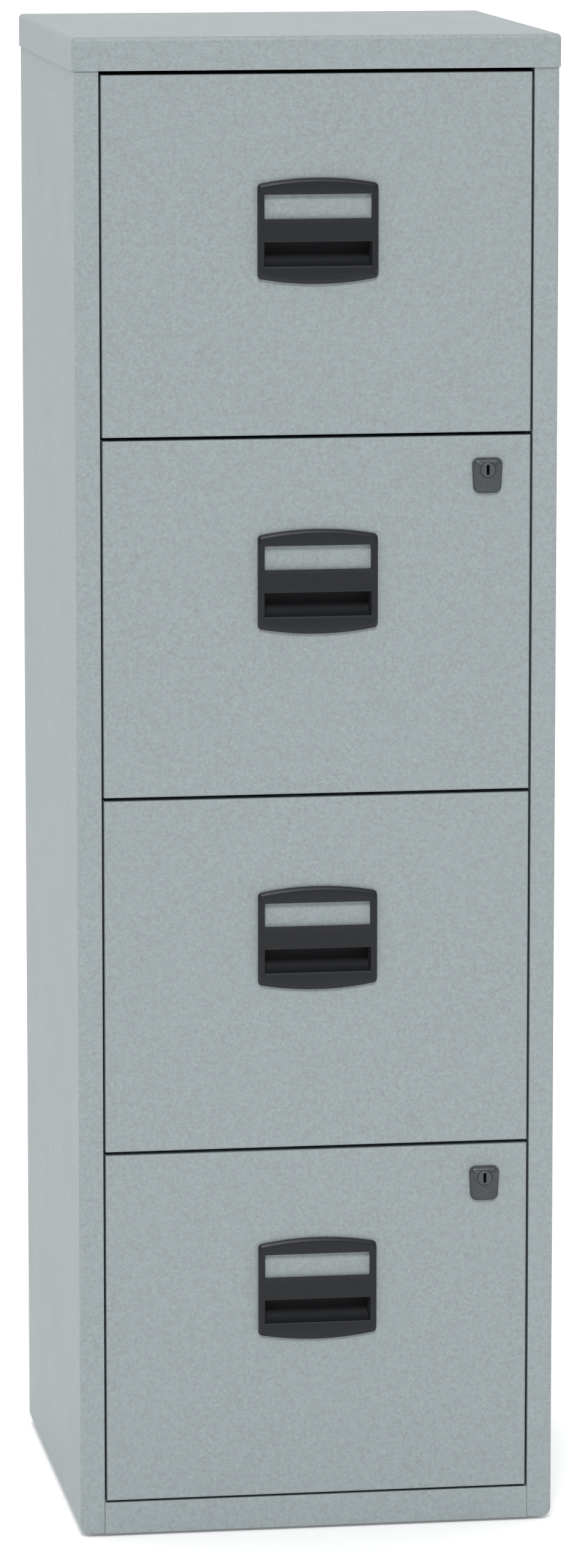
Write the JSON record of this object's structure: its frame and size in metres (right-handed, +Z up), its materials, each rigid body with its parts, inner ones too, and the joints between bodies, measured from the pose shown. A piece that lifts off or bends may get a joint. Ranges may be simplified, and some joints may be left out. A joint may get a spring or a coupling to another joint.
{
  "type": "filing cabinet",
  "caption": "Tall steel filing cabinet with stacked drawers for hanging files on telescopic slides, recessed black pulls with label windows, and key locks.",
  "frame": {"origin": "middle of the footprint, on the floor", "axes": "+Z up, drawers open towards -Y, +X to the right as seen from the front"},
  "size_m": [0.413, 0.4045, 1.282],
  "materials": {
    "case_paint": "fine-textured satin powder coat",
    "front_paint": "fine-textured satin powder coat",
    "zinc": "bright zinc plate",
    "handle_plastic": "satin moulding",
    "lock_metal": "dark satin die casting",
    "plug_metal": "worn chrome plate",
    "glide_plastic": "matt moulding",
    "cage_plastic": "matt moulding"
  },
  "bodies": {
    "cabinet": {"lid": "case_paint", "side_left": "case_paint", "side_right": "case_paint", "back_panel": "case_paint", "base_pan": "case_paint", "plinth_rail": "front_paint", "top_rail": "case_paint", "uprights_left": "case_paint", "uprights_right": "case_paint", "foot_glides": "glide_plastic", "slide_screws": "zinc", "bar_studs": "zinc", "drawer_1_slide_outer": "zinc", "drawer_2_slide_outer": "zinc", "drawer_3_slide_outer": "zinc", "drawer_4_slide_outer": "zinc"},
    "drawer_1": {"drawer_1_front": "front_paint", "drawer_1_liner": "case_paint", "drawer_1_tray": "case_paint", "drawer_1_back": "case_paint", "drawer_1_handle": "handle_plastic", "drawer_1_slide_inner": "zinc"},
    "drawer_1_middle": {"drawer_1_slide_middle": "zinc"},
    "drawer_1_outer_balls": {"drawer_1_cage_outer": "cage_plastic"},
    "drawer_1_inner_balls": {"drawer_1_cage_inner": "cage_plastic"},
    "drawer_2": {"drawer_2_front": "front_paint", "drawer_2_liner": "case_paint", "drawer_2_tray": "case_paint", "drawer_2_back": "case_paint", "drawer_2_handle": "handle_plastic", "drawer_2_slide_inner": "zinc", "lock_upper_housing": "lock_metal"},
    "drawer_2_middle": {"drawer_2_slide_middle": "zinc"},
    "drawer_2_outer_balls": {"drawer_2_cage_outer": "cage_plastic"},
    "drawer_2_inner_balls": {"drawer_2_cage_inner": "cage_plastic"},
    "drawer_3": {"drawer_3_front": "front_paint", "drawer_3_liner": "case_paint", "drawer_3_tray": "case_paint", "drawer_3_back": "case_paint", "drawer_3_handle": "handle_plastic", "drawer_3_slide_inner": "zinc"},
    "drawer_3_middle": {"drawer_3_slide_middle": "zinc"},
    "drawer_3_outer_balls": {"drawer_3_cage_outer": "cage_plastic"},
    "drawer_3_inner_balls": {"drawer_3_cage_inner": "cage_plastic"},
    "drawer_4": {"drawer_4_front": "front_paint", "drawer_4_liner": "case_paint", "drawer_4_tray": "case_paint", "drawer_4_back": "case_paint", "drawer_4_handle": "handle_plastic", "drawer_4_slide_inner": "zinc", "lock_lower_housing": "lock_metal"},
    "drawer_4_middle": {"drawer_4_slide_middle": "zinc"},
    "drawer_4_outer_balls": {"drawer_4_cage_outer": "cage_plastic"},
    "drawer_4_inner_balls": {"drawer_4_cage_inner": "cage_plastic"},
    "lock_upper_plug": {"lock_upper_barrel": "plug_metal", "lock_upper_cam": "zinc"},
    "lock_upper_bar": {"lock_bar_upper": "zinc"},
    "lock_lower_plug": {"lock_lower_barrel": "plug_metal", "lock_lower_cam": "zinc"},
    "lock_lower_bar": {"lock_bar_lower": "zinc"}
  },
  "joints": [
    {"name": "drawer_1_slide", "type": "slide", "parent": "cabinet", "child": "drawer_1", "axis": [0, -1, 0], "range_m": [0, 0.35]},
    {"name": "drawer_1_middle_slide", "type": "slide", "parent": "cabinet", "child": "drawer_1_middle", "axis": [0, -1, 0], "range_m": [0, 0.175]},
    {"name": "drawer_1_outer_balls_slide", "type": "slide", "parent": "cabinet", "child": "drawer_1_outer_balls", "axis": [0, -1, 0], "range_m": [0, 0.0875]},
    {"name": "drawer_1_inner_balls_slide", "type": "slide", "parent": "cabinet", "child": "drawer_1_inner_balls", "axis": [0, -1, 0], "range_m": [0, 0.2625]},
    {"name": "drawer_2_slide", "type": "slide", "parent": "cabinet", "child": "drawer_2", "axis": [0, -1, 0], "range_m": [0, 0.35]},
    {"name": "drawer_2_middle_slide", "type": "slide", "parent": "cabinet", "child": "drawer_2_middle", "axis": [0, -1, 0], "range_m": [0, 0.175]},
    {"name": "drawer_2_outer_balls_slide", "type": "slide", "parent": "cabinet", "child": "drawer_2_outer_balls", "axis": [0, -1, 0], "range_m": [0, 0.0875]},
    {"name": "drawer_2_inner_balls_slide", "type": "slide", "parent": "cabinet", "child": "drawer_2_inner_balls", "axis": [0, -1, 0], "range_m": [0, 0.2625]},
    {"name": "drawer_3_slide", "type": "slide", "parent": "cabinet", "child": "drawer_3", "axis": [0, -1, 0], "range_m": [0, 0.35]},
    {"name": "drawer_3_middle_slide", "type": "slide", "parent": "cabinet", "child": "drawer_3_middle", "axis": [0, -1, 0], "range_m": [0, 0.175]},
    {"name": "drawer_3_outer_balls_slide", "type": "slide", "parent": "cabinet", "child": "drawer_3_outer_balls", "axis": [0, -1, 0], "range_m": [0, 0.0875]},
    {"name": "drawer_3_inner_balls_slide", "type": "slide", "parent": "cabinet", "child": "drawer_3_inner_balls", "axis": [0, -1, 0], "range_m": [0, 0.2625]},
    {"name": "drawer_4_slide", "type": "slide", "parent": "cabinet", "child": "drawer_4", "axis": [0, -1, 0], "range_m": [0, 0.35]},
    {"name": "drawer_4_middle_slide", "type": "slide", "parent": "cabinet", "child": "drawer_4_middle", "axis": [0, -1, 0], "range_m": [0, 0.175]},
    {"name": "drawer_4_outer_balls_slide", "type": "slide", "parent": "cabinet", "child": "drawer_4_outer_balls", "axis": [0, -1, 0], "range_m": [0, 0.0875]},
    {"name": "drawer_4_inner_balls_slide", "type": "slide", "parent": "cabinet", "child": "drawer_4_inner_balls", "axis": [0, -1, 0], "range_m": [0, 0.2625]},
    {"name": "lock_upper_turn", "type": "hinge", "parent": "drawer_2", "child": "lock_upper_plug", "pos_m": [0.1448, -0.1985, 0.91648], "axis": [0, 1, 0], "range_deg": [0, 90.1]},
    {"name": "lock_upper_bar_slide", "type": "slide", "parent": "cabinet", "child": "lock_upper_bar", "axis": [0, 0, -1], "range_m": [0, 0.01414]},
    {"name": "lock_lower_turn", "type": "hinge", "parent": "drawer_4", "child": "lock_lower_plug", "pos_m": [0.1448, -0.1985, 0.30562], "axis": [0, 1, 0], "range_deg": [0, 90.1]},
    {"name": "lock_lower_bar_slide", "type": "slide", "parent": "cabinet", "child": "lock_lower_bar", "axis": [0, 0, -1], "range_m": [0, 0.01414]}
  ],
  "couplings": [
    {"joint": "drawer_1_middle_slide", "follows": "drawer_1_slide", "ratio": 0.5},
    {"joint": "drawer_1_outer_balls_slide", "follows": "drawer_1_slide", "ratio": 0.25},
    {"joint": "drawer_1_inner_balls_slide", "follows": "drawer_1_slide", "ratio": 0.75},
    {"joint": "drawer_2_middle_slide", "follows": "drawer_2_slide", "ratio": 0.5},
    {"joint": "drawer_2_outer_balls_slide", "follows": "drawer_2_slide", "ratio": 0.25},
    {"joint": "drawer_2_inner_balls_slide", "follows": "drawer_2_slide", "ratio": 0.75},
    {"joint": "drawer_3_middle_slide", "follows": "drawer_3_slide", "ratio": 0.5},
    {"joint": "drawer_3_outer_balls_slide", "follows": "drawer_3_slide", "ratio": 0.25},
    {"joint": "drawer_3_inner_balls_slide", "follows": "drawer_3_slide", "ratio": 0.75},
    {"joint": "drawer_4_middle_slide", "follows": "drawer_4_slide", "ratio": 0.5},
    {"joint": "drawer_4_outer_balls_slide", "follows": "drawer_4_slide", "ratio": 0.25},
    {"joint": "drawer_4_inner_balls_slide", "follows": "drawer_4_slide", "ratio": 0.75},
    {"joint": "lock_upper_turn", "follows": "lock_upper_bar_slide", "rad_per_m": 111.07},
    {"joint": "lock_lower_turn", "follows": "lock_lower_bar_slide", "rad_per_m": 111.07}
  ]
}
